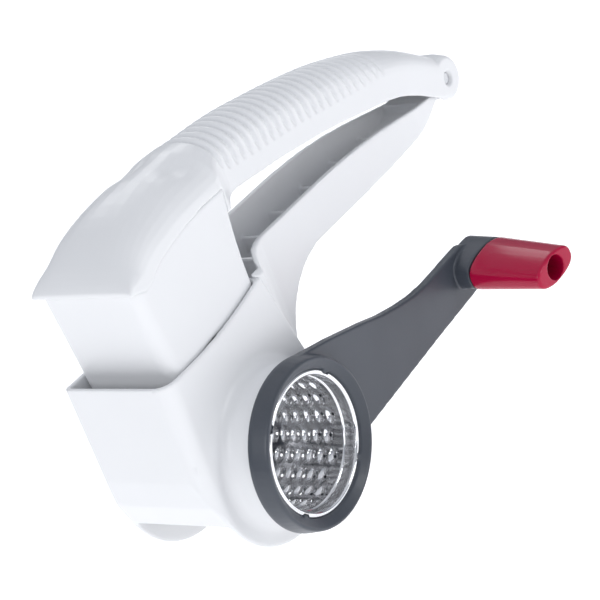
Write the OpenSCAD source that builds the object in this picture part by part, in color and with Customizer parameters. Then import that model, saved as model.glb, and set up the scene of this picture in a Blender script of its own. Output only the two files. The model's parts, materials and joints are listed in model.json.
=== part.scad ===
// Hand-held rotary cheese grater: a hopper head with a perforated drum, a squeeze handle that
// presses the cheese down, and a crank with a free-turning knob.
//
// Working frame: the drum axis is the Y axis, the middle of the head is y = 0, the crank is on
// the -Y side, +X runs back along the handle and +Z points out of the hopper. Everything is
// moved into the row frame, whose origin is the middle of the base, by in_row_frame().

/* [Drum] */
// Outer radius of the drum's rolled rim
rim_r = 22.25; // [21.6:0.05:22.3]
// Outer radius of the perforated drum wall
drum_r = 20.8; // [20:0.1:20.9]
// Thickness of the steel sheet
sheet_t = 0.5; // [0.4:0.1:0.8]
// Number of hole rows round the drum
hole_rows = 20; // [12:2:20]
// Holes in each row along the drum
holes_per_row = 10; // [6:1:10]
// Radius of one grating hole
hole_r = 0.85; // [0.6:0.05:0.95]

/* [Head] */
// Width of the hopper head across the cheeks
head_w = 40.4; // [40:0.1:41]
// Wall thickness of the white mouldings
wall = 1.8; // [1.6:0.1:2]
// Radius of the round cheek lobes the head stands on
lobe_r = 31.4; // [31:0.1:32]
// Height of the hopper rim above the drum axis, at its lowest
rim_z = 40.2; // [39:0.1:41]

/* [Handles] */
// Half-width of both handles along the grip
grip_hw = 12.7; // [12:0.1:13]
// Distance of the hinge behind the drum axis
hinge_x = 157.5; // [157:0.1:158]
// Height of the hinge above the drum axis
hinge_z = 44.5; // [44:0.1:45]
// Radius of the rounded tail round the hinge
tail_r = 8.7; // [8.6:0.1:9]
// Radius of the steel hinge pin
pin_r = 2; // [1.5:0.1:2.1]
// How far the press handle closes from its rest position, in degrees
close_angle = 6.5; // [6:0.1:6.8]

/* [Crank] */
// Outer radius of the collar at its open front
collar_r = 25.8; // [25.5:0.1:26]
// Outer radius of the ring at its back edge
ring_r = 26.8; // [26.4:0.1:27]
// Distance from the drum axis to the foot of the knob
crank_throw = 102.7; // [101:0.1:104]
// Length of the knob
knob_len = 27.9; // [24:0.1:30]

/* [Hidden] */
$fn = 64;
eps = 0.01;
far = 200;

// Head
half_w = head_w / 2;
inner_hw = half_w - wall;
front_x = -34;
near_corner_r = 6;
far_corner_r = 3;
front_wall_z = 8;
front_edge_z = -10.4;
apex = [21, 45.7];
apex_angle = atan2(apex[1], apex[0]) - acos(lobe_r / norm(apex));
back_tangent = lobe_r * [cos(apex_angle), sin(apex_angle)];
rim_arc_r = 168;
rim_low_x = -22;
guide_arc_r = 138;
drum_gap_r = 23;

// Journal, boss and crank ring along the drum axis
boss_end_y = -30.3;
boss_r = 24.4;
boss_flare = 3.4;
bore_r = 23.27;
journal_r = 23.2;
journal_inner_r = 22;
journal_end_y = -18.5;
ring_back_y = -30.6;
ring_front_y = -37.95;
seat_y = -34.9;
seat_r = 22.35;
rim_front_y = -35.85;
arm_t = 3.4;
arm_front_y = ring_back_y - arm_t;
block_end_y = -41.6;

// Drum
drum_end_y = 15.4;
band_len = 4.8;
hole_first = 3;
hole_pitch = 4.2;
disc_t = 0.8;
hub_bore_r = 4;
hub_r = 3.94;
hub_head_r = 4.8;
hub_recess_r = 6.6;
hub_recess_t = 1.2;
bearing_t = 2;

// Knob: its axis leans a little towards the drum, and distances along it start at the end block
knob_z = 1.8;
knob_lean = 9;
knob_gap = 0.3;
knob_end = knob_gap + knob_len;
knob_tilt = 5;
knob_foot = [10.9, 6.5];
knob_tip = [9.2, 4.9];
knob_edge = 0.6;
spindle_r = 2.3;
spindle_foot = 9.6;
spindle_head_r = 2.9;
spindle_bore_r = 2.36;
knob_recess_r = 4.1;
knob_recess_len = 12;
knob_seat = knob_recess_len - knob_end;
washer_t = 0.8;

// Handles
grip_wall = 2;
tail_hw = 10.8;
tail_side_r = 6.9;
ear_inner_hw = 8.8;
lug_hw = 8.4;
lug_r = 6.6;
pin_recess_r = 2.6;
lower_top_z = 51.2;
lower_floor_z = 35.6;
gusset_r = 31;
gusset_x = 64;

// Pusher
pusher_hw = 18;
pusher_front_x = -28.6;
pusher_near_r = 4.5;
pusher_far_r = 2.5;
pusher_lean = 5.5;
pusher_back_r = guide_arc_r + 0.6;
hood_back_z = 75.6;
press_gap_r = 22.1;

// Row frame: the base's middle is the origin
knob_reach = knob_end * cos(knob_lean) + (knob_tip[0] - knob_edge) * sin(knob_lean);
x_mid = (front_x + hinge_x + tail_r) / 2;
y_mid = (block_end_y - knob_reach + half_w) / 2;

module in_row_frame() translate([-x_mid, -y_mid, lobe_r]) children();

// Extrudes an outline drawn in x and z from y0 to y1
module along_y(y0, y1) translate([0, y1, 0]) rotate([90, 0, 0]) linear_extrude(y1 - y0) children();

// A cylinder on an axis parallel to Y
module rod(r, y0, y1, x = 0, z = 0) translate([x, y1, z]) rotate([90, 0, 0]) cylinder(r = r, h = y1 - y0);

// Revolves an outline of [radius, distance towards -Y from y = 0]
module turned() rotate([90, 0, 0]) rotate_extrude() children();

// ---- Smooth tables and lofts ----

// Row i of a table, or the nearest row it has
function row(t, i) = t[min(max(i, 0), len(t) - 1)];

// Value of column c between rows i and i + 1 of a table, on a smooth curve through the rows
function smooth(t, c, i, u) =
    let (a = row(t, i - 1)[c], b = row(t, i)[c], d = row(t, i + 1)[c], e = row(t, i + 2)[c])
    b + 0.5 * u * (d - a + u * (2 * a - 5 * b + 4 * d - e + u * (3 * (b - d) + e - a)));

// Half-ring of a loft section: a superellipse dome on short upright sides
function dome(x, w, base, side, top, n, steps) = concat(
    [[x, -w, base]],
    [for (k = [0:steps])
        let (a = 180 * k / steps, c = -cos(a), s = max(sin(a), 0))
        [x, w * sign(c) * pow(abs(c), 2 / n), side + (top - side) * pow(s, 2 / n)]],
    [[x, w, base]]
);

// Skins a list of rings that all have the same number of points
module skin(rings) {
    m = len(rings[0]);
    last = len(rings) - 1;
    walls = [for (i = [0:last - 1], j = [0:m - 1])
        let (k = (j + 1) % m)
        [i * m + j, i * m + k, (i + 1) * m + k, (i + 1) * m + j]];
    start = [for (j = [m - 1:-1:0]) j];
    end = [for (j = [0:m - 1]) last * m + j];
    polyhedron([for (r = rings) each r], concat([start], walls, [end]));
}

// ---- Head ----

// Outline of a cheek: round lobe, straight front wall, slanted back, concave rim
module head_outline() difference() {
    union() {
        circle(r = lobe_r);
        polygon([
            [0, 0], [-29.9, -9.5], [-32.8, -1.5], [front_x, front_wall_z], [front_x, 60],
            apex + 0.4 * (apex - back_tangent), back_tangent
        ]);
    }
    translate([rim_low_x, rim_z + rim_arc_r]) circle(r = rim_arc_r, $fn = 240);
}

// The same outline one wall thickness further in, open at the top and below the front edge
module cavity_outline() {
    circle(r = lobe_r - wall);
    polygon([
        [0, 0], [-28.2, -9], [-31, -1.5], [front_x + wall, front_wall_z], [front_x + wall, 70],
        [apex[0] - wall, 70], apex - [wall, 0], back_tangent - [wall, 0]
    ]);
    translate([-60, front_edge_z - 60]) square([120, 60]);
}

// Plan of a box open to the back, inset from its outer faces, with two rounded front corners
module box_plan(front, hw, near_r, far_r, inset) hull() {
    translate([front + near_r, near_r - hw]) circle(r = near_r - inset);
    translate([front + far_r, hw - far_r]) circle(r = far_r - inset);
    translate([60, -hw + inset]) square([1, 2 * (hw - inset)]);
}

module head_plan(inset) box_plan(front_x, half_w, near_corner_r, far_corner_r, inset);

module upright(z0, z1) translate([0, 0, z0]) linear_extrude(z1 - z0) children();

// Sloping webs that lead the cheese onto the drum, and the curved back wall of the shaft
module guides_outline() {
    polygon([[front_x + 1, 13], [-drum_gap_r + 0.6, -2], [-drum_gap_r + 0.6, -4.4], [front_x + 1, 10.4]]);
    intersection() {
        difference() {
            translate([hinge_x, hinge_z]) circle(r = guide_arc_r, $fn = 240);
            translate([hinge_x, hinge_z]) circle(r = guide_arc_r - 1.6, $fn = 240);
        }
        translate([15, 8]) square([15, 38]);
    }
    polygon([[22.4, 11.6], [25.2, 11.6], [25.4, 6], [25, -9], [22, -9]]);
}

module boss_section() polygon(concat(
    [[bore_r - 2, half_w - wall], [boss_r + boss_flare, half_w - wall]],
    [for (k = [0:6]) let (a = 15 * k)
        [boss_r + boss_flare * (1 - sin(a)), half_w + boss_flare * (1 - cos(a))]],
    [[boss_r, -boss_end_y], [bore_r - 2, -boss_end_y]]
));

module head_housing() color("white") in_row_frame() difference() {
    union() {
        difference() {
            intersection() {
                along_y(-half_w, half_w) head_outline();
                upright(-60, 60) head_plan(0);
            }
            intersection() {
                along_y(-inner_hw, inner_hw) cavity_outline();
                upright(-80, 80) head_plan(wall);
            }
        }
        along_y(-inner_hw, inner_hw) intersection() {
            guides_outline();
            difference() {
                head_outline();
                circle(r = drum_gap_r);
            }
        }
        turned() boss_section();
        rod(9, inner_hw - bearing_t, half_w - wall / 2);
    }
    rod(bore_r, -60, -inner_hw + 0.2);
    rod(hub_bore_r, 10, 40);
    rod(hub_recess_r, half_w - hub_recess_t, 40);
}

// ---- Lower handle ----

lower_plan = [
    [20, 19.6], [24, 19.6], [26, 17.2], [28.5, 15.2], [31.5, 13.8], [35, 13], [40, grip_hw], [95, grip_hw],
    [110, 12.3], [122, 11.6], [132, 10.9], [140, 9.6], [145, 8.7], [150, lug_hw], [170, lug_hw]
];

// Plan of the lower handle, inset from its outer faces
module lower_plan_outline(inset) polygon(concat(
    [for (p = lower_plan) [p[0], p[1] - inset]],
    [for (i = [len(lower_plan) - 1:-1:0]) [lower_plan[i][0], inset - lower_plan[i][1]]]
));

// Arc of the gusset under the front of the handle, from the floor down to the head
function gusset(r, steps) = [for (k = [0:steps]) let (a = 90 + 90 * k / steps)
    [gusset_x + r * cos(a), lower_floor_z - gusset_r + r * sin(a)]];

module lower_side_outline() polygon(concat(
    [[18, 2], [18, 50.2], [26, 50.6], [36, lower_top_z], [72, lower_top_z], [84, 50.9], [96, 50.2],
        [109, 48.9], [122, 46.9], [135, 44.6], [144, 43.2], [hinge_x, 43.6], [hinge_x - 3, hinge_z - 5.9],
        [150, 39.8], [145.2, 37.7], [138.5, 36.3], [130, lower_floor_z]],
    gusset(gusset_r, 10),
    [[30, 2]]
));

// The hollow of the channel: open at the top, over the floor and down into the gusset
module lower_hollow_outline() polygon(concat(
    [[18, 4], [18, 70], [143, 70], [141, 40.6], [130, lower_floor_z + 2.2]],
    gusset(gusset_r + 2.2, 10),
    [[26, 4]]
));

module lower_handle() color("white") in_row_frame() difference() {
    union() {
        intersection() {
            along_y(-30, 30) lower_side_outline();
            upright(-60, 100) lower_plan_outline(0);
        }
        rod(lug_r, -lug_hw, lug_hw, hinge_x, hinge_z);
    }
    difference() {
        intersection() {
            along_y(-30, 30) lower_hollow_outline();
            upright(-60, 100) lower_plan_outline(grip_wall);
        }
        for (x = [38, 53, 70, 88, 106, 124])
            translate([x, -20, 0]) cube([1.6, 40, lower_floor_z + 7 - (x - 38) / 30]);
    }
    along_y(-40, 40) head_outline();
    // Shoulders between the channel walls and the cheeks slope down to the hopper rim
    for (s = [-1, 1]) translate([0, s * grip_hw, lower_top_z]) rotate([s * -38, 0, 0])
        translate([0, s > 0 ? 0 : -30, 0]) cube([45, 30, 20]);
    rod(pin_r, -40, 40, hinge_x, hinge_z);
}

module hinge_pin() color("silver") in_row_frame()
    rod(pin_r, 1.1 - tail_hw, tail_hw - 1.1, hinge_x, hinge_z);

// ---- Upper handle with its hood ----

// Hood sections: x, half-width, lower edge, side top, crown, squareness
hood = [
    [-31, 19.4, 69.6, 70.1, 71.2, 5],
    [-29.5, 19.6, 69.4, 70.1, 73.2, 4.2],
    [-26.5, 19.6, 68.6, 69.6, 76.1, 3.6],
    [-23, 19.2, 67.8, 69, 78.7, 3.2],
    [-19, 19, 69.4, 70.4, 81.2, 3],
    [-14, 18.9, 71.5, 72.4, 83.5, 2.8],
    [-5, 18.8, 73.6, 74.5, 86.2, 2.4],
    [6, 18.6, 75.2, 76, 87.9, 2.1],
    [19.7, 18.3, hood_back_z, 76.4, 88.4, 2]
];

// Arm sections: x, half-width, lower edge, side top, crown, squareness
arm = [
    [19.7, 18.3, 67.9, 76.4, 88.4, 2],
    [22.5, 17.8, 68, 77.2, 88.6, 2],
    [25.5, 15.9, 68.4, 78.4, 88.6, 2],
    [29, 13.9, 69.2, 79.2, 88.5, 2.1],
    [34, grip_hw, 69.2, 79.2, 88.2, 2.1],
    [46, grip_hw, 67.9, 78.4, 87.5, 2.1],
    [57, grip_hw, 66.8, 77.2, 86.4, 2.1],
    [68.5, grip_hw, 65.1, 75.4, 84.6, 2.1],
    [80, grip_hw, 63.4, 73.4, 82.7, 2.1],
    [91, grip_hw, 61.4, 71.2, 80.6, 2.1],
    [102.5, grip_hw, 58.9, 68.8, 78.1, 2.1],
    [114, grip_hw, 56.4, 65.6, 74.9, 2.1],
    [126, 12.5, 53.1, 62, 71, 2.1],
    [134, 12.2, 49.6, 59, 67.6, 2.2],
    [142, 11.7, 45.4, 55, 63.5, 2.4],
    [150, 11.2, 40.8, 50.2, 58.4, 2.6],
    [hinge_x, tail_hw, 38.2, 46, hinge_z + tail_r, 2.8]
];

// Rings of a loft, drop below the outer skin on the inside of a wall
function loft(t, per, drop) = [for (i = [0:len(t) - 2], k = [0:per - (i == len(t) - 2 ? 0 : 1)])
    let (u = k / per)
    dome(smooth(t, 0, i, u), smooth(t, 1, i, u) - drop, smooth(t, 2, i, u) - 4 * drop,
        smooth(t, 3, i, u), smooth(t, 4, i, u) - drop, smooth(t, 5, i, u), 16)];

// Barrel of the tail, crowned between its two flat ears
module tail_barrel() translate([hinge_x, 0, hinge_z]) turned() polygon([
    [0, -tail_hw], [tail_side_r, -tail_hw], [tail_side_r + 1, 1.4 - tail_hw], [tail_r, -5], [tail_r, 5],
    [tail_side_r + 1, tail_hw - 1.4], [tail_side_r, tail_hw], [0, tail_hw]
]);

module upper_handle() color("white") in_row_frame() difference() {
    union() {
        skin(loft(hood, 2, 0));
        skin(loft(arm, 2, 0));
        tail_barrel();
    }
    // Face that the pusher's curved back stands against
    along_y(-half_w, half_w) difference() {
        translate([10, 60]) square([14, hood_back_z - 60]);
        translate([hinge_x, hinge_z]) circle(r = pusher_back_r, $fn = 240);
    }
    // Hollow of the hood and of the grip, with the neck left solid between them
    intersection() {
        skin(loft(hood, 2, grip_wall));
        translate([-28.5, -30, 0]) cube([45, 60, 120]);
    }
    intersection() {
        skin(loft(arm, 2, grip_wall));
        translate([27.5, -30, 0]) cube([far, 60, 120]);
    }
    // Gap between the ears for the lower handle's lug and for its end
    rod(lug_r + 0.5, -ear_inner_hw, ear_inner_hw, hinge_x, hinge_z);
    along_y(-ear_inner_hw, ear_inner_hw) polygon([
        [132, 60], [142, 56], [152, 51], [hinge_x, hinge_z], [hinge_x + 6, 30], [117, 30], [117, 50]
    ]);
    rod(pin_r + 0.06, -40, 40, hinge_x, hinge_z);
    rod(pin_recess_r, -40, 1 - tail_hw, hinge_x, hinge_z);
    rod(pin_recess_r, tail_hw - 1, 40, hinge_x, hinge_z);
}

// ---- Pusher ----

// Drum axis as the press handle carries it when it is raised from closed to rest
press_centre = [
    hinge_x - hinge_x * cos(close_angle) - hinge_z * sin(close_angle),
    hinge_z + hinge_x * sin(close_angle) - hinge_z * cos(close_angle)
];

module pusher_plan(inset) box_plan(pusher_front_x, pusher_hw, pusher_near_r, pusher_far_r, inset);

// Lower edge of the hood, point by point as its loft has it
function hood_edge(up) = [for (i = [0:len(hood) - 2], k = [0:i == len(hood) - 2 ? 2 : 1])
    [smooth(hood, 0, i, k / 2), smooth(hood, 2, i, k / 2) + up]];

// Side view of the pusher: its top follows the hood's edge and its back is an arc round the hinge
module pusher_side(inset, floor_t) difference() {
    polygon(concat([[60, 26], [-40, 26], [-40, 69.6]], hood_edge(inset > 0 ? 5 : 0), [[60, hood_back_z]]));
    translate([hinge_x, hinge_z]) circle(r = pusher_back_r + inset, $fn = 240);
    translate(press_centre) circle(r = press_gap_r + floor_t, $fn = 96);
    translate([-60, 0]) square([120, 32 + floor_t]);
}

module pusher_block(inset, floor_t) intersection() {
    along_y(-30, 30) pusher_side(inset, floor_t);
    translate([0, 0, 66]) rotate([0, -pusher_lean, 0]) upright(-60, 20) pusher_plan(inset);
}

module pusher_box() color("white") in_row_frame() difference() {
    pusher_block(0, 0);
    pusher_block(wall, wall);
}

// ---- Drum ----

module drum_shell() color("lightgrey") in_row_frame() difference() {
    rod(drum_r, rim_front_y + band_len, drum_end_y);
    rod(drum_r - sheet_t, -60, 60);
    for (i = [0:hole_rows - 1], j = [0:holes_per_row - 1])
        rotate([0, (i + 0.5) * 360 / hole_rows, 0])
            translate([0, drum_end_y - hole_first - (j + (i % 2) / 2) * hole_pitch, drum_r - 3])
                cylinder(r = hole_r, h = 6, $fn = 14);
}

// Rolled rim with four bayonet notches, and the plain band that holds the perforated sheet
module drum_rim() color("silver") in_row_frame() difference() {
    union() {
        rod(drum_r, rim_front_y, rim_front_y + band_len);
        rod(rim_r, rim_front_y, rim_front_y + 0.9);
    }
    rod(drum_r - sheet_t - 0.1, -60, 60);
    for (a = [45:90:315]) rotate([0, a, 0])
        translate([-1.3, rim_front_y - 1, drum_r + 0.35]) cube([2.6, 3, 3]);
}

module drum_end_disc() color("silver") in_row_frame() difference() {
    rod(drum_r, drum_end_y, drum_end_y + disc_t);
    rod(hub_r, 0, 40);
}

// Pivot of the closed end: a flange inside the drum, the journal and a snap head in the recess
module end_hub() color("dimgrey") in_row_frame() difference() {
    union() {
        rod(9, drum_end_y - 2, drum_end_y);
        rod(hub_r, drum_end_y - 2, half_w - 0.3);
        rod(hub_head_r, half_w - hub_recess_t + 0.1, half_w - 0.3);
    }
    along_y(half_w - 4.5, 40) square([1, 12], center = true);
}

// ---- Crank ----

// Section of the ring: sleeve, seat for the drum's rim, sloping collar and barrel outside
module ring_section() polygon([
    [journal_inner_r, -journal_end_y], [journal_r, -journal_end_y], [journal_r, -ring_back_y],
    [ring_r - 0.8, -ring_back_y], [ring_r, -ring_back_y + 0.8], [ring_r, -ring_back_y + 2],
    [collar_r + 0.2, -ring_front_y - 0.5], [collar_r - 0.2, -ring_front_y],
    [collar_r - 0.7, -ring_front_y], [seat_r + 0.1, -ring_front_y - 1.9], [seat_r, -seat_y],
    [journal_inner_r, -seat_y]
]);

// Things on the knob's own axis, where -Y runs from the end block to the knob's tip
module on_knob_axis() translate([crank_throw, block_end_y, knob_z]) rotate([0, 0, -knob_lean]) children();

module arm_outline() {
    hull() {
        translate([100.6, 0.4]) circle(r = 8.7);
        translate([78, -0.4]) circle(r = 9);
    }
    polygon([
        [0, 0], [8.3, 25.2], [24.8, 21.2], [42.3, 16.2], [52, 13.1], [61.5, 10.8], [70, 9.3], [79, 8.6],
        [84, 0], [79, -9.3], [28.8, -12.4], [20, -13.6]
    ]);
}

// Section of the knob, a squarish oval, at a fraction of its length from its foot
module knob_oval(u, grow) {
    size = knob_foot + u * (knob_tip - knob_foot) + [grow, grow];
    rotate(knob_tilt) polygon([for (k = [0:7.5:359])
        [size[0] * sign(cos(k)) * pow(abs(cos(k)), 0.77), size[1] * sign(sin(k)) * pow(abs(sin(k)), 0.77)]]);
}

module crank() color("#4a4f58") in_row_frame() difference() {
    union() {
        turned() ring_section();
        difference() {
            along_y(arm_front_y, ring_back_y) arm_outline();
            rod(seat_r + 0.6, -60, 0);
        }
        intersection() {
            on_knob_axis() along_y(0, 20) knob_oval(0, -0.3);
            along_y(-60, ring_back_y) translate([60, -30]) square([80, 60]);
        }
        // Lugs that lock into the notches of the drum's rim
        for (a = [45:90:315]) rotate([0, a, 0])
            translate([-1.1, rim_front_y + 0.1, drum_r + 0.5]) cube([2.2, seat_y - rim_front_y + 0.5, 1.6]);
    }
    on_knob_axis() rod(spindle_r, -20, spindle_foot);
}

module knob_spindle() color("silver") in_row_frame() on_knob_axis() {
    rod(spindle_r, knob_seat - washer_t - 1.5, spindle_foot);
    rod(spindle_head_r, knob_seat - washer_t - 1.5, knob_seat - washer_t - 0.2);
}

module knob_washer() color("silver") in_row_frame() on_knob_axis() difference() {
    rod(spindle_head_r + 0.5, knob_seat - washer_t - 0.1, knob_seat - 0.1);
    rod(spindle_r, -60, 0);
}

module knob() color("crimson") in_row_frame() on_knob_axis() difference() {
    hull() {
        along_y(-knob_gap - 0.3, -knob_gap) knob_oval(0, -knob_edge);
        along_y(-knob_gap - 1, -knob_gap - knob_edge) knob_oval(0, 0);
        along_y(knob_edge - knob_end, 1 - knob_end) knob_oval(1, 0);
        along_y(-knob_end, 0.3 - knob_end) knob_oval(1, -knob_edge);
    }
    rod(spindle_bore_r, -60, 10);
    rod(knob_recess_r, -60, knob_seat);
}

head_housing();
lower_handle();
hinge_pin();
upper_handle();
pusher_box();
drum_shell();
drum_rim();
drum_end_disc();
end_hub();
crank();
knob_spindle();
knob_washer();
knob();
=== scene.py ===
import json
import math

import bmesh
import bpy
from mathutils import Matrix, Vector


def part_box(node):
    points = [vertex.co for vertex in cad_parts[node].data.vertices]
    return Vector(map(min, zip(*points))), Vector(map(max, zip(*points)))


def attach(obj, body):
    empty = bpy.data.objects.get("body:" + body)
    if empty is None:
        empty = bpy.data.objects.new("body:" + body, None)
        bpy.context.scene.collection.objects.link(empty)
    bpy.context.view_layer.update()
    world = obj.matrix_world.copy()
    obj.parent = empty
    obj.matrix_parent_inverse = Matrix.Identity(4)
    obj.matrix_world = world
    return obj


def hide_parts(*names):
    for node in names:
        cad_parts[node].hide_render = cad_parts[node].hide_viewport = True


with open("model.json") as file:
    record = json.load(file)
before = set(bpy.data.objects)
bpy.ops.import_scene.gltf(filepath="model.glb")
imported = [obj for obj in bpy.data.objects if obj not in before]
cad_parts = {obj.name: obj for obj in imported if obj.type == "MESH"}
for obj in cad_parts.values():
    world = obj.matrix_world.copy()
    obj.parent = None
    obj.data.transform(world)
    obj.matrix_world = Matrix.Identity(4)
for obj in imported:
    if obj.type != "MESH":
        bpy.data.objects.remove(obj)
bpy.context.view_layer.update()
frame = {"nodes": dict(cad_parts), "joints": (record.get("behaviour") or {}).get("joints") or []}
NODES = frame["nodes"]
JOINTS = {j["name"]: j for j in frame["joints"]}

# The tool's own frame: origin on the drum axis at the middle of the head, X back along the
# handles, Z out of the hopper, all in millimetres. CHEEK is the distance to the outer faces.
CHEEK = 20.2
ORIGIN = Vector((
    JOINTS["crank_spin"]["pos_m"][0],
    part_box("head_housing")[1].y - CHEEK / 1000,
    JOINTS["crank_spin"]["pos_m"][2],
))


def place(x, y, z):
    return ORIGIN + Vector((x, y, z)) / 1000


def tool_coords(p):
    return (p - ORIGIN) * 1000


# ---------------------------------------------------------------- materials

# The band that most values of a noise fall in
NOISE_LOW, NOISE_HIGH = 0.3, 0.7
# Scales of noises, in repeats per metre, and depths of bumps, in metres
DRIFT_SCALE, MARKS_SCALE, WAVE_SCALE, CLOUD_SCALE, DENT_SCALE = 28, 220, 45, 160, 130
WAVE_DEPTH, LINE_DEPTH = 0.00012, 0.00001
LINE_STRETCH = 40
CLOUD_DARKEST = 0.86
PLASTIC_IOR, COAT_ROUGHNESS = 1.49, 0.08


def new_material(name):
    m = bpy.data.materials.new(name)
    m.use_nodes = True
    nodes = m.node_tree.nodes
    return m, nodes, m.node_tree.links, nodes["Principled BSDF"]


def add_noise(nodes, links, coords, scale, detail=4.0, rough=0.5):
    n = nodes.new("ShaderNodeTexNoise")
    n.inputs["Scale"].default_value = scale
    n.inputs["Detail"].default_value = detail
    n.inputs["Roughness"].default_value = rough
    links.new(coords.outputs["Object"], n.inputs["Vector"])
    return n


def add_range(nodes, links, source, low, high):
    """Spreads the middle band of a noise over the values from low to high."""
    r = nodes.new("ShaderNodeMapRange")
    r.inputs["From Min"].default_value = NOISE_LOW
    r.inputs["From Max"].default_value = NOISE_HIGH
    r.inputs["To Min"].default_value = low
    r.inputs["To Max"].default_value = high
    links.new(source, r.inputs["Value"])
    return r


def add_ramp(nodes, links, source, stops):
    r = nodes.new("ShaderNodeValToRGB")
    while len(r.color_ramp.elements) < len(stops):
        r.color_ramp.elements.new(0.5)
    for e, (at, colour) in zip(r.color_ramp.elements, stops):
        e.position = at
        e.color = (*colour, 1)
    links.new(source, r.inputs["Fac"])
    return r


def add_bump(nodes, links, source, distance, strength, previous=None):
    b = nodes.new("ShaderNodeBump")
    b.inputs["Distance"].default_value = distance
    b.inputs["Strength"].default_value = strength
    links.new(source, b.inputs["Height"])
    if previous is not None:
        links.new(previous.outputs["Normal"], b.inputs["Normal"])
    return b


def plastic(name, colour, rough, grain, grain_depth, coat, tint, specular=0.5):
    """A moulded plastic: slow colour drift, a fine spark-eroded grain and faint handling marks."""
    m, nodes, links, shader = new_material(name)
    coords = nodes.new("ShaderNodeTexCoord")
    drift = add_noise(nodes, links, coords, DRIFT_SCALE, 3)
    low = tuple(c * (1 - tint) for c in colour)
    high = tuple(c * (1 + tint) for c in colour)
    ramp = add_ramp(nodes, links, drift.outputs["Fac"], [(NOISE_LOW, low), (NOISE_HIGH, high)])
    links.new(ramp.outputs["Color"], shader.inputs["Base Color"])
    marks = add_noise(nodes, links, coords, MARKS_SCALE, 5, 0.6)
    spread = add_range(nodes, links, marks.outputs["Fac"], rough - 0.03, rough + 0.04)
    links.new(spread.outputs["Result"], shader.inputs["Roughness"])
    fine = add_noise(nodes, links, coords, grain, 2, 0.6)
    bump = add_bump(nodes, links, fine.outputs["Fac"], grain_depth, 0.1)
    wave = add_noise(nodes, links, coords, WAVE_SCALE, 2, 0.4)
    bump = add_bump(nodes, links, wave.outputs["Fac"], WAVE_DEPTH, 0.25, bump)
    links.new(bump.outputs["Normal"], shader.inputs["Normal"])
    shader.inputs["IOR"].default_value = PLASTIC_IOR
    shader.inputs["Specular IOR Level"].default_value = specular
    shader.inputs["Coat Weight"].default_value = coat
    shader.inputs["Coat Roughness"].default_value = COAT_ROUGHNESS
    return m


def steel(name, colour, rough, line_scale, line_strength=0.3, dents=0.0):
    """Bright steel with fine lines along the Y axis, faint clouding and, on sheet, shallow dents."""
    m, nodes, links, shader = new_material(name)
    coords = nodes.new("ShaderNodeTexCoord")
    stretch = nodes.new("ShaderNodeMapping")
    stretch.inputs["Scale"].default_value = (line_scale, line_scale / LINE_STRETCH, line_scale)
    links.new(coords.outputs["Object"], stretch.inputs["Vector"])
    lines = nodes.new("ShaderNodeTexNoise")
    lines.inputs["Scale"].default_value = 1.0
    lines.inputs["Detail"].default_value = 5
    links.new(stretch.outputs["Vector"], lines.inputs["Vector"])
    cloud = add_noise(nodes, links, coords, CLOUD_SCALE)
    low = tuple(c * CLOUD_DARKEST for c in colour)
    ramp = add_ramp(nodes, links, cloud.outputs["Fac"], [(NOISE_LOW, low), (0.65, colour)])
    links.new(ramp.outputs["Color"], shader.inputs["Base Color"])
    spread = add_range(nodes, links, lines.outputs["Fac"], rough - 0.05, rough + 0.1)
    links.new(spread.outputs["Result"], shader.inputs["Roughness"])
    bump = add_bump(nodes, links, lines.outputs["Fac"], LINE_DEPTH, line_strength)
    if dents:
        swell = add_noise(nodes, links, coords, DENT_SCALE, 1, 0.4)
        bump = add_bump(nodes, links, swell.outputs["Fac"], dents, 0.6, bump)
    links.new(bump.outputs["Normal"], shader.inputs["Normal"])
    shader.inputs["Metallic"].default_value = 1.0
    return m


WHITE = plastic("white_moulding", (0.80, 0.806, 0.82), 0.32, 3200, 0.000006, coat=0.0, tint=0.010)
GREY = plastic("slate_moulding", (0.052, 0.060, 0.076), 0.38, 3600, 0.000012, coat=0.03, tint=0.10)
RED = plastic("red_moulding", (0.40, 0.0005, 0.040), 0.22, 2600, 0.000004, coat=0.05, tint=0.05,
              specular=0.32)
DRUM = steel("drum_sheet", (0.90, 0.905, 0.92), 0.12, 1500, line_strength=0.02, dents=0.00005)
PIN = steel("turned_pin", (0.62, 0.63, 0.65), 0.26, 2600)

# ---------------------------------------------------------------- moulded pieces


def link(ob):
    bpy.context.scene.collection.objects.link(ob)
    return ob


def bake(ob):
    """Puts the result of an object's modifiers into its mesh."""
    shaped = bpy.data.meshes.new_from_object(ob.evaluated_get(bpy.context.evaluated_depsgraph_get()))
    ob.modifiers.clear()
    ob.data = shaped


def finish_piece(ob, node, body, material, sharp=None):
    """Gives a piece its material and body and hides the CAD node it stands for; edges above sharp degrees
    stay crisp.
    """
    ob.data.materials.clear()
    ob.data.materials.append(material)
    ob.data.shade_smooth()
    if sharp:
        ob.data.set_sharp_from_angle(angle=math.radians(sharp))
    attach(ob, body)
    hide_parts(node)


def moulded(node, body, material, voxel, rounds, shape=None, faces=0):
    """A moulded piece over a CAD node: the node's shape with softened edges, then its surface detail.

    voxel is the grain of the mesh in millimetres, rounds the passes of softening, shape the
    function that adds the detail, and faces the most triangles the piece may have.
    """
    ob = link(bpy.data.objects.new(node + "_moulding", NODES[node].data.copy()))
    voxels = ob.modifiers.new("voxels", "REMESH")
    voxels.mode = "VOXEL"
    voxels.voxel_size = voxel / 1000
    soften = ob.modifiers.new("soften", "SMOOTH")
    soften.factor = 0.5
    soften.iterations = rounds
    bake(ob)
    if shape:
        moved = [place(*shape(tool_coords(v.co), v.normal)) for v in ob.data.vertices]
        ob.data.vertices.foreach_set("co", [c for p in moved for c in p])
        ob.data.update()
    if faces and len(ob.data.polygons) * 2 > faces:
        thin = ob.modifiers.new("thin", "DECIMATE")
        thin.ratio = faces / (len(ob.data.polygons) * 2)
        bake(ob)
    finish_piece(ob, node, body, material)


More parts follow.
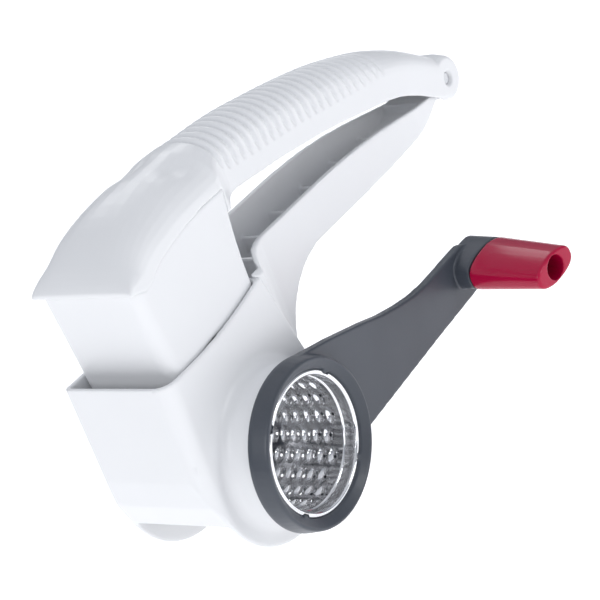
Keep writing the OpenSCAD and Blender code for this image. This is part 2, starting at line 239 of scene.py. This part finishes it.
def along(table, x):
    """Straight-line value of a table of (x, value)."""
    if x <= table[0][0]:
        return table[0][1]
    for (x0, a), (x1, b) in zip(table, table[1:]):
        if x <= x1:
            return a + (b - a) * (x - x0) / (x1 - x0)
    return table[-1][1]


def clamp(v):
    return min(max(v, 0.0), 1.0)


# The press handle, in millimetres of the tool's own frame. First the height of the grip's crown
# along X, how far the crown bends down towards the sides, and where the grip's outside begins.
CROWN = [(22, 88.6), (29, 88.5), (34, 88.2), (46, 87.5), (57, 86.4), (68.5, 84.6), (80, 82.7), (91, 80.6),
         (102.5, 78.1), (114, 74.9), (126, 71), (134, 67.6), (142, 63.5)]
GRIP_HALF_WIDTH, GRIP_BEND = 12.7, 9.1
GRIP_SIDE, GRIP_WALL = 11.2, 1.1
# The grooves between the grip ribs: their lower ends along X, how quickly they run out there,
# and how they fade towards the tail
RIB_END = [(28, 79.5), (33, 76), (38, 75), (73, 71), (122, 63)]
RIB_FIRST, RIB_PITCH, RIB_COUNT = 30.6, 3.95, 24
RIB_DEPTH, RIB_SHARPNESS, RIB_RUN_OUT = 1.45, 3.6, 3.2
FADE_FROM, FADE_LENGTH, FADE = 88, 34, 0.6
# The scoop on each shoulder of the neck behind the hood
NECK_FROM, NECK_TO, NECK_LOW = 2, 28, 78
SCOOP_DEPTH = 1.3
SCOOP_X, SCOOP_LENGTH = 15.5, 5.5
SCOOP_Y, SCOOP_WIDTH = 9.5, 4.2


def press_surface(p, n):
    """Grip ribs over the top and sides of the handle, and the scooped neck behind the hood."""
    x, y, z = p
    depth = 0.0
    rib = (x - RIB_FIRST) / RIB_PITCH
    bend = GRIP_BEND * (1 - math.sqrt(max(1 - (y / GRIP_HALF_WIDTH) ** 2, 0)))
    outer = n.z > -0.2 and (abs(y) > GRIP_SIDE or z > along(CROWN, x) - bend - GRIP_WALL)
    if -0.5 < rib < RIB_COUNT - 0.5 and outer:
        groove = abs(math.cos(math.pi * rib)) ** RIB_SHARPNESS
        reach = clamp((z - along(RIB_END, x)) / RIB_RUN_OUT)
        fade = 1 - FADE * clamp((x - FADE_FROM) / FADE_LENGTH)
        depth += RIB_DEPTH * groove * reach * fade
    if NECK_FROM < x < NECK_TO and z > NECK_LOW and n.z > 0:
        off_x, off_y = (x - SCOOP_X) / SCOOP_LENGTH, (abs(y) - SCOOP_Y) / SCOOP_WIDTH
        depth += SCOOP_DEPTH * math.exp(-(off_x ** 2) - off_y ** 2)
    return p - n * depth


# The knob's own axes: along its length, across it the long way, and across it the short way
KNOB_FOOT = Vector((102.7, -41.6, 1.8))
LEAN, TILT = math.radians(9), math.radians(5)
KNOB_OUT = Vector((-math.sin(LEAN), -math.cos(LEAN), 0))
KNOB_SIDE = Vector((math.cos(LEAN), -math.sin(LEAN), 0))
KNOB_LONG = KNOB_SIDE * math.cos(TILT) + Vector((0, 0, math.sin(TILT)))
KNOB_SHORT = Vector((0, 0, math.cos(TILT))) - KNOB_SIDE * math.sin(TILT)
# The round core that holds the bore stays as it is; outside it the facets fall away from the ridge
CORE_R_SQUARED = 16.5
RIDGE_OFF, FACET_FALL, FACET_SPAN = 1.6, 0.09, 8


def knob_surface(p, _):
    """A soft ridge along the top and bottom of the knob, with facets that fall away either side."""
    q = p - KNOB_FOOT
    out, wide, high = q.dot(KNOB_OUT), q.dot(KNOB_LONG), q.dot(KNOB_SHORT)
    if wide * wide + high * high > CORE_R_SQUARED:
        ridge = RIDGE_OFF if high > 0 else -RIDGE_OFF
        high *= 1 - FACET_FALL * clamp(abs(wide - ridge) / FACET_SPAN)
    return KNOB_FOOT + KNOB_OUT * out + KNOB_LONG * wide + KNOB_SHORT * high


moulded("head_housing", "frame", WHITE, 0.5, 6, faces=190000)
moulded("lower_handle", "frame", WHITE, 0.45, 6, faces=190000)
moulded("upper_handle", "press", WHITE, 0.42, 5, press_surface, 195000)
moulded("pusher_box", "press", WHITE, 0.45, 6, faces=150000)
moulded("crank", "drum_crank", GREY, 0.35, 5, faces=190000)
moulded("knob", "knob", RED, 0.28, 6, knob_surface)
moulded("end_hub", "drum_crank", GREY, 0.2, 3)
moulded("hinge_pin", "frame", PIN, 0.16, 3)
moulded("knob_spindle", "drum_crank", PIN, 0.16, 3)
moulded("knob_washer", "drum_crank", PIN, 0.12, 2)

# ---------------------------------------------------------------- drum

# In millimetres: the sheet and its two ends, the rows of holes, and the oval dimple round each
# hole, half its size round the drum and half its size along it
DRUM_R, SHEET = 20.8, 0.5
SHELL_BACK, SHELL_FRONT = 15.4, -31.05
ROWS, PER_ROW, PITCH, FIRST = 20, 10, 4.2, 3.0
HOLE_R, DIMPLE_ROUND, DIMPLE_ALONG = 0.5, 2.9, 1.95
# How far the hole's edge stands out on the outside and the inside of the sheet, and the powers
# of the curves that lead up to it
TOOTH_RISE, TOOTH_POWER = 0.75, 1.8
BOWL_RISE, BOWL_POWER = 0.98, 2.1
# Rings of a dimple from the hole's edge (0) to the dimple's edge (1)
DIMPLE_RINGS = (0, 0.16, 0.36, 0.6, 0.82, 1)
SEGMENTS = 6
STEP = PITCH / SEGMENTS
HALF_ANGLE = math.pi / ROWS
WELD_DISTANCE = 0.000004


def on_drum(angle, y, r):
    return place(r * math.sin(angle), y, r * math.cos(angle))


def cell_edge():
    """Points round a square from -1 to 1, SEGMENTS to a side."""
    side = [-1 + 2 * k / SEGMENTS for k in range(SEGMENTS)]
    first, second = [(s, -1) for s in side], [(1, s) for s in side]
    return first + second + [(-u, -v) for u, v in first] + [(-u, -v) for u, v in second]


def drum_cell(bm, angle, y):
    """One punched tooth: a hole whose edge is pushed outwards, in its own patch of the sheet."""
    edge = cell_edge()
    rings = []

    def add_ring(offsets, rise_out, rise_in):
        outer, inner = [], []
        for du, dv in offsets:
            outer.append(bm.verts.new(on_drum(angle + du / DRUM_R, y + dv, DRUM_R + rise_out)))
            inner.append(bm.verts.new(on_drum(angle + du / DRUM_R, y + dv, DRUM_R - SHEET + rise_in)))
        rings.append((outer, inner))

    corners = [(u * HALF_ANGLE * DRUM_R, v * PITCH / 2) for u, v in edge]
    for s in DIMPLE_RINGS:
        half_round, half_along = (HOLE_R + s * (half - HOLE_R) for half in (DIMPLE_ROUND, DIMPLE_ALONG))
        turns = [math.atan2(dv, du) for du, dv in corners]
        oval = [(math.cos(a) * half_round, math.sin(a) * half_along) for a in turns]
        add_ring(oval, TOOTH_RISE * (1 - s ** TOOTH_POWER), BOWL_RISE * (1 - s ** BOWL_POWER))
    add_ring(corners, 0, 0)
    count = len(edge)
    for k in range(count):
        m = (k + 1) % count
        for (out0, in0), (out1, in1) in zip(rings, rings[1:]):
            bm.faces.new((out0[k], out0[m], out1[m], out1[k]))
            bm.faces.new((in0[m], in0[k], in1[k], in1[m]))
        out0, in0 = rings[0]
        bm.faces.new((out0[m], out0[k], in0[k], in0[m]))


def drum_band(bm, row, ys):
    """The plain sheet of one row between the given distances."""
    for k in range(SEGMENTS):
        a0, a1 = ((row + j / SEGMENTS) * 2 * HALF_ANGLE for j in (k, k + 1))
        for y0, y1 in zip(ys, ys[1:]):
            for r, flip in ((DRUM_R, False), (DRUM_R - SHEET, True)):
                quad = [on_drum(a, y, r) for a, y in ((a0, y0), (a1, y0), (a1, y1), (a0, y1))]
                if flip:
                    quad.reverse()
                bm.faces.new([bm.verts.new(p) for p in quad])


bm = bmesh.new()
for row in range(ROWS):
    start = SHELL_BACK - FIRST + PITCH / 2 - (row % 2) * PITCH / 2
    for j in range(PER_ROW):
        drum_cell(bm, (row + 0.5) * 2 * HALF_ANGLE, start - (j + 0.5) * PITCH)
    top = SHELL_BACK - FIRST + PITCH / 2
    drum_band(bm, row, [SHELL_BACK] + [top - STEP * k for k in range((row % 2) * SEGMENTS // 2 + 1)])
    end = start - PER_ROW * PITCH
    drum_band(bm, row, [end - STEP * k for k in range(int((end - SHELL_FRONT) / STEP) + 1)] + [SHELL_FRONT])
bmesh.ops.remove_doubles(bm, verts=bm.verts, dist=WELD_DISTANCE)
loops = [e for e in bm.edges if e.is_boundary]
bmesh.ops.bridge_loops(bm, edges=[e for e in loops if tool_coords(e.verts[0].co).y > 0])
bmesh.ops.bridge_loops(bm, edges=[e for e in loops if tool_coords(e.verts[0].co).y < 0])
bmesh.ops.recalc_face_normals(bm, faces=bm.faces)
shell_mesh = bpy.data.meshes.new("drum_shell_punched")
bm.to_mesh(shell_mesh)
bm.free()
finish_piece(link(bpy.data.objects.new("drum_shell_punched", shell_mesh)), "drum_shell", "drum_crank",
             DRUM, 33)


def lathe(name, profile, steps, radius=lambda _angle, r, _y: r):
    """A closed outline of (radius, y) turned about the drum axis."""
    bm = bmesh.new()
    rings = []
    for k in range(steps):
        a = 2 * math.pi * k / steps
        rings.append([bm.verts.new(on_drum(a, y, radius(a, r, y))) for r, y in profile])
    for k in range(steps):
        a, b = rings[k], rings[(k + 1) % steps]
        for j in range(len(profile)):
            m = (j + 1) % len(profile)
            bm.faces.new((a[j], a[m], b[m], b[j]))
    bmesh.ops.recalc_face_normals(bm, faces=bm.faces)
    mesh = bpy.data.meshes.new(name)
    bm.to_mesh(mesh)
    bm.free()
    return link(bpy.data.objects.new(name, mesh))


# Radius at the bottom of the rim's notches, and their half width and the width of their flanks
# in degrees
NOTCH_R, NOTCH_HALF, NOTCH_FLANK = 21.15, 3.1, 1.0


def notched(angle, r, _):
    """The rolled rim steps in at its four bayonet notches."""
    off = abs(math.degrees(angle) % 90 - 45) - NOTCH_HALF
    inside = 1 - clamp(off / NOTCH_FLANK)
    return r - max(r - NOTCH_R, 0) * inside


# Outlines of the rim and the end disc, as (radius, y)
RIM = [(20.0, -31.0), (19.9, -31.15), (20.0, -31.32), (20.45, -31.6), (20.6, -32.4), (20.6, -34.0),
       (20.5, -34.7), (20.45, -35.1), (20.6, -35.45), (20.95, -35.75), (21.35, -35.85), (21.75, -35.75),
       (22.05, -35.5), (22.25, -35.1), (22.1, -34.97), (21.7, -34.95), (21.2, -34.93), (20.95, -34.8),
       (20.8, -34.5), (20.8, -31.05), (20.3, -31.05), (20.25, -30.9)]
finish_piece(lathe("drum_rim_rolled", RIM, 360, notched), "drum_rim", "drum_crank", DRUM, 40)

DISC = [(3.94, 15.45), (9.4, 15.45), (9.7, 15.62), (16.4, 15.62), (16.8, 15.45), (20.45, 15.4),
        (20.8, 15.5), (20.8, 15.9), (20.55, 16.15), (16.7, 16.0), (16.3, 16.17), (9.8, 16.17),
        (9.3, 16.0), (3.94, 16.0)]
finish_piece(lathe("drum_disc_pressed", DISC, 180), "drum_end_disc", "drum_crank", DRUM, 25)

# ---------------------------------------------------------------- camera, light, floor

RIGHT = Vector((0.5125, -0.7929, -0.3296)).normalized()
BACK = -Vector((0.6857, 0.6090, -0.3987)).normalized()
UP = BACK.cross(RIGHT).normalized()
RIGHT = UP.cross(BACK).normalized()
CAMERA_AT = (-443.9, -444.6, 307.6)
cam_data = bpy.data.cameras.new("camera")
cam_data.lens = 136.5
cam_data.sensor_width = 36
cam_data.clip_start = 0.01
cam_data.clip_end = 150
camera = bpy.data.objects.new("camera", cam_data)
turn = Matrix((RIGHT, UP, BACK)).transposed().to_4x4()
camera.matrix_world = Matrix.Translation(place(*CAMERA_AT)) @ turn
bpy.context.scene.collection.objects.link(camera)
bpy.context.scene.camera = camera

world = bpy.data.worlds.new("studio")
world.use_nodes = True
sky, sky_links = world.node_tree.nodes, world.node_tree.links
sky_coords = sky.new("ShaderNodeTexCoord")
sky_split = sky.new("ShaderNodeSeparateXYZ")
sky_links.new(sky_coords.outputs["Generated"], sky_split.inputs["Vector"])
# Colours of the studio from the horizon (0) up to overhead (1)
SKY = [(0.0, (0.10, 0.11, 0.13)), (0.22, (0.32, 0.34, 0.38)), (0.5, (0.64, 0.67, 0.72)),
       (1.0, (0.80, 0.82, 0.87))]
sky_ramp = add_ramp(sky, sky_links, sky_split.outputs["Z"], SKY)
sky_links.new(sky_ramp.outputs["Color"], sky["Background"].inputs["Color"])
sky["Background"].inputs["Strength"].default_value = 0.84
bpy.context.scene.world = world
bpy.context.scene.view_settings.view_transform = "Standard"


def area_light(name, at, target, width, height, watts):
    data = bpy.data.lights.new(name, "AREA")
    data.shape = "RECTANGLE"
    data.size, data.size_y = width, height
    data.energy = watts
    ob = bpy.data.objects.new(name, data)
    ob.location = at
    ob.rotation_mode = "QUATERNION"
    ob.rotation_quaternion = (Vector(at) - Vector(target)).to_track_quat("Z", "Y")
    bpy.context.scene.collection.objects.link(ob)


area_light("key", (-0.85, 0.02, 0.5), (0, 0, 0.05), 0.35, 0.35, 1.5)
area_light("fill", (0.15, -0.95, 0.35), (0, 0, 0.05), 0.2, 0.4, 1.95)
area_light("low", (-0.45, -0.75, 0.16), (-0.06, 0, 0.04), 0.3, 0.12, 0.35)
area_light("rim", (0.5, 0.55, 0.6), (0, 0, 0.05), 0.5, 0.2, 1.0)

FLOOR_HALF = 60.0
floor_mesh = bpy.data.meshes.new("floor")
bm = bmesh.new()
bmesh.ops.create_grid(bm, x_segments=4, y_segments=4, size=FLOOR_HALF)
bm.to_mesh(floor_mesh)
bm.free()
floor = bpy.data.objects.new("floor", floor_mesh)
bpy.context.scene.collection.objects.link(floor)
paper, _, _, paper_shader = new_material("paper")
paper_shader.inputs["Base Color"].default_value = (0.93, 0.93, 0.94, 1)
paper_shader.inputs["Emission Color"].default_value = (1, 1, 1, 1)
paper_shader.inputs["Emission Strength"].default_value = 0.62
paper_shader.inputs["Roughness"].default_value = 0.9
floor_mesh.materials.append(paper)
